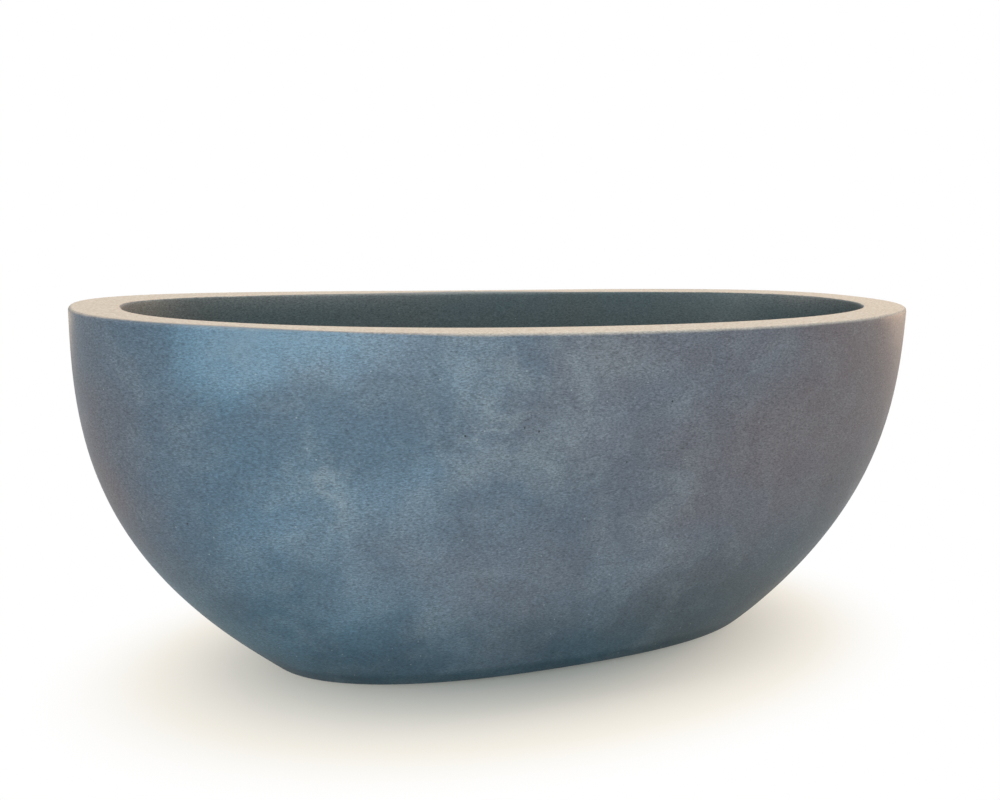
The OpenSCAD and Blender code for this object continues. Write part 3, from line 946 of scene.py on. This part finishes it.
def add_lamp(name, power, tint, size, place, target=(0, 0, 0.18)):
    """Adds an area lamp at a place, facing a target."""
    light = bpy.data.lights.new(name, "AREA")
    light.energy = power
    light.color = tint
    light.shape = "RECTANGLE"
    light.size, light.size_y = size
    lamp = bpy.data.objects.new(name, light)
    bpy.context.scene.collection.objects.link(lamp)
    lamp.location = place
    lamp.rotation_euler = (Vector(target) - Vector(place)).to_track_quat("-Z", "Y").to_euler()


def seen(tree):
    """1 for rays that come straight from the camera, or by way of glossy or clear surfaces."""
    path = add_node(tree, "ShaderNodeLightPath").outputs
    direct = add_node(
        tree, "ShaderNodeMath", {0: path["Is Camera Ray"], 1: path["Is Glossy Ray"]}, operation="MAXIMUM"
    )
    return add_node(
        tree, "ShaderNodeMath", {0: direct, 1: path["Is Transmission Ray"]}, operation="MAXIMUM"
    )


def studio_paper(studio, finish, bowl):
    """White paper: it takes the bowl's shadow nearby and fades to plain white further out."""
    material, tree, place = new_material("studio_paper")
    shown = seen(tree)
    tint = add_node(
        tree, "ShaderNodeMix", {0: shown, 6: finish.paper, 7: finish.paper_seen}, data_type="RGBA"
    )
    near = add_node(tree, "ShaderNodeBsdfDiffuse", {"Color": tint})
    # Distance is counted in ovals round the shadow's middle
    spread = (studio.shadow_length * bowl.rim_length / 2, studio.shadow_width * bowl.rim_width / 2, 1)
    away = add_node(
        tree, "ShaderNodeMapping", {"Vector": place, "Location": SHADOW_MIDDLE, "Scale": spread},
        vector_type="TEXTURE",
    )
    away = add_node(tree, "ShaderNodeVectorMath", {0: away}, operation="LENGTH")
    away = add_node(
        tree, "ShaderNodeMapRange", {0: away, 1: studio.fade_start, 2: studio.fade_end},
        interpolation_type="SMOOTHSTEP",
    )
    away = add_node(tree, "ShaderNodeMath", {0: away, 1: shown}, operation="MULTIPLY")
    # Painted warm light where the shadow runs out, plain white past it
    past = add_node(tree, "ShaderNodeMapRange", {0: away, 1: 0.75, 2: 1.0})
    glow = add_node(tree, "ShaderNodeMix", {0: past, 6: finish.paper_warm_glow, 7: WHITE}, data_type="RGBA")
    far = add_node(tree, "ShaderNodeEmission", {"Color": glow, "Strength": 1.0})
    shader = add_node(tree, "ShaderNodeMixShader", {0: away, 1: near, 2: far})
    add_node(tree, "ShaderNodeOutputMaterial", {"Surface": shader})
    return material


def light_room(scene, studio):
    """Even light from all round, and plain white wherever the camera looks past the paper."""
    world = bpy.data.worlds.new("room")
    scene.world = world
    world.use_nodes = True
    tree = world.node_tree
    tree.nodes.clear()
    even = add_node(tree, "ShaderNodeBackground", {"Color": (1, 0.99, 0.97, 1), "Strength": studio.sky})
    white = add_node(tree, "ShaderNodeBackground", {"Color": WHITE, "Strength": 1.0})
    both = add_node(tree, "ShaderNodeMixShader", {0: seen(tree), 1: even, 2: white})
    add_node(tree, "ShaderNodeOutputWorld", {"Surface": both})


def stand_camera(scene, studio):
    """Stands the camera where the photograph was taken from."""
    lens = bpy.data.cameras.new("camera")
    lens.sensor_fit = "HORIZONTAL"
    lens.sensor_width = studio.frame_width
    lens.lens = studio.lens
    camera = bpy.data.objects.new("camera", lens)
    scene.collection.objects.link(camera)
    camera.location = studio.camera_place
    camera.rotation_euler = studio.camera_turn
    scene.camera = camera


class PLANTER_OT_studio(bpy.types.Operator):
    """Lays the white paper, hangs the lamps and sets up the camera"""

    bl_idname = "planter.studio"
    bl_label = "Set up the studio"

    def execute(self, context):
        scene = context.scene
        studio, finish = scene.planter_studio, scene.planter_finish
        laid = bmesh.new()
        bmesh.ops.create_grid(laid, x_segments=4, y_segments=4, size=PAPER_REACH)
        mesh = bpy.data.meshes.new("paper_floor")
        laid.to_mesh(mesh)
        laid.free()
        mesh.materials.append(studio_paper(studio, finish, scene.planter_bowl))
        floor = bpy.data.objects.new("paper_floor", mesh)
        scene.collection.objects.link(floor)

        add_lamp(
            "window", studio.window_power, tint=(0.78, 0.93, 1.0), size=(1.5, 0.9),
            place=(-1.05, -2.5, 0.62),
        )
        add_lamp(
            "overhead", studio.overhead_power, tint=(1.0, 0.95, 0.89), size=(5.0, 1.8),
            place=(0.0, 0.3, 3.4), target=(0, 0.3, 0),
        )
        add_lamp(
            "fill_right", studio.right_power, tint=(1.0, 0.69, 0.43), size=(1.2, 1.0),
            place=(2.6, 0.5, 0.68),
        )
        add_lamp(
            "fill_left", studio.left_power, tint=(1.0, 0.7, 0.42), size=(0.6, 0.4),
            place=(-1.2, 2.6, 0.25),
        )

        light_room(scene, studio)
        stand_camera(scene, studio)
        scene.view_settings.view_transform = "Standard"
        return {"FINISHED"}


class PLANTER_PT_panel(bpy.types.Panel):
    """Lists the planter's steps"""

    bl_idname = "PLANTER_PT_panel"
    bl_label = "Oval Bowl Planter"
    bl_space_type = "VIEW_3D"
    bl_region_type = "UI"
    bl_category = "Planter"

    def draw(self, context):
        for step in STEPS:
            self.layout.operator(step.bl_idname)
        for group, _kind in GROUPS:
            settings = getattr(context.scene, group)
            box = self.layout.box()
            for name in settings.bl_rna.properties.keys():
                if name not in ("rna_type", "name"):
                    box.prop(settings, name)


STEPS = [
    PLANTER_OT_studio,
    PLANTER_OT_bowl,
    PLANTER_OT_sleeves,
    PLANTER_OT_plugs,
    PLANTER_OT_pads,
    PLANTER_OT_steel,
]
GROUPS = [
    ("planter_bowl", BowlSizes),
    ("planter_fittings", FittingSizes),
    ("planter_finish", FinishColours),
    ("planter_studio", StudioSettings),
]


def register():
    for _name, kind in GROUPS:
        bpy.utils.register_class(kind)
    for step in STEPS:
        bpy.utils.register_class(step)
    bpy.utils.register_class(PLANTER_PT_panel)
    for name, kind in GROUPS:
        setattr(bpy.types.Scene, name, PointerProperty(type=kind))


def unregister():
    for name, _kind in GROUPS:
        delattr(bpy.types.Scene, name)
    bpy.utils.unregister_class(PLANTER_PT_panel)
    for step in reversed(STEPS):
        bpy.utils.unregister_class(step)
    for _name, kind in reversed(GROUPS):
        bpy.utils.unregister_class(kind)


def main():
    """Runs every step in order."""
    register()
    bpy.ops.planter.studio()
    bpy.ops.planter.bowl()
    bpy.ops.planter.sleeves()
    bpy.ops.planter.plugs()
    bpy.ops.planter.pads()
    bpy.ops.planter.steel()


if __name__ == "__main__":
    main()
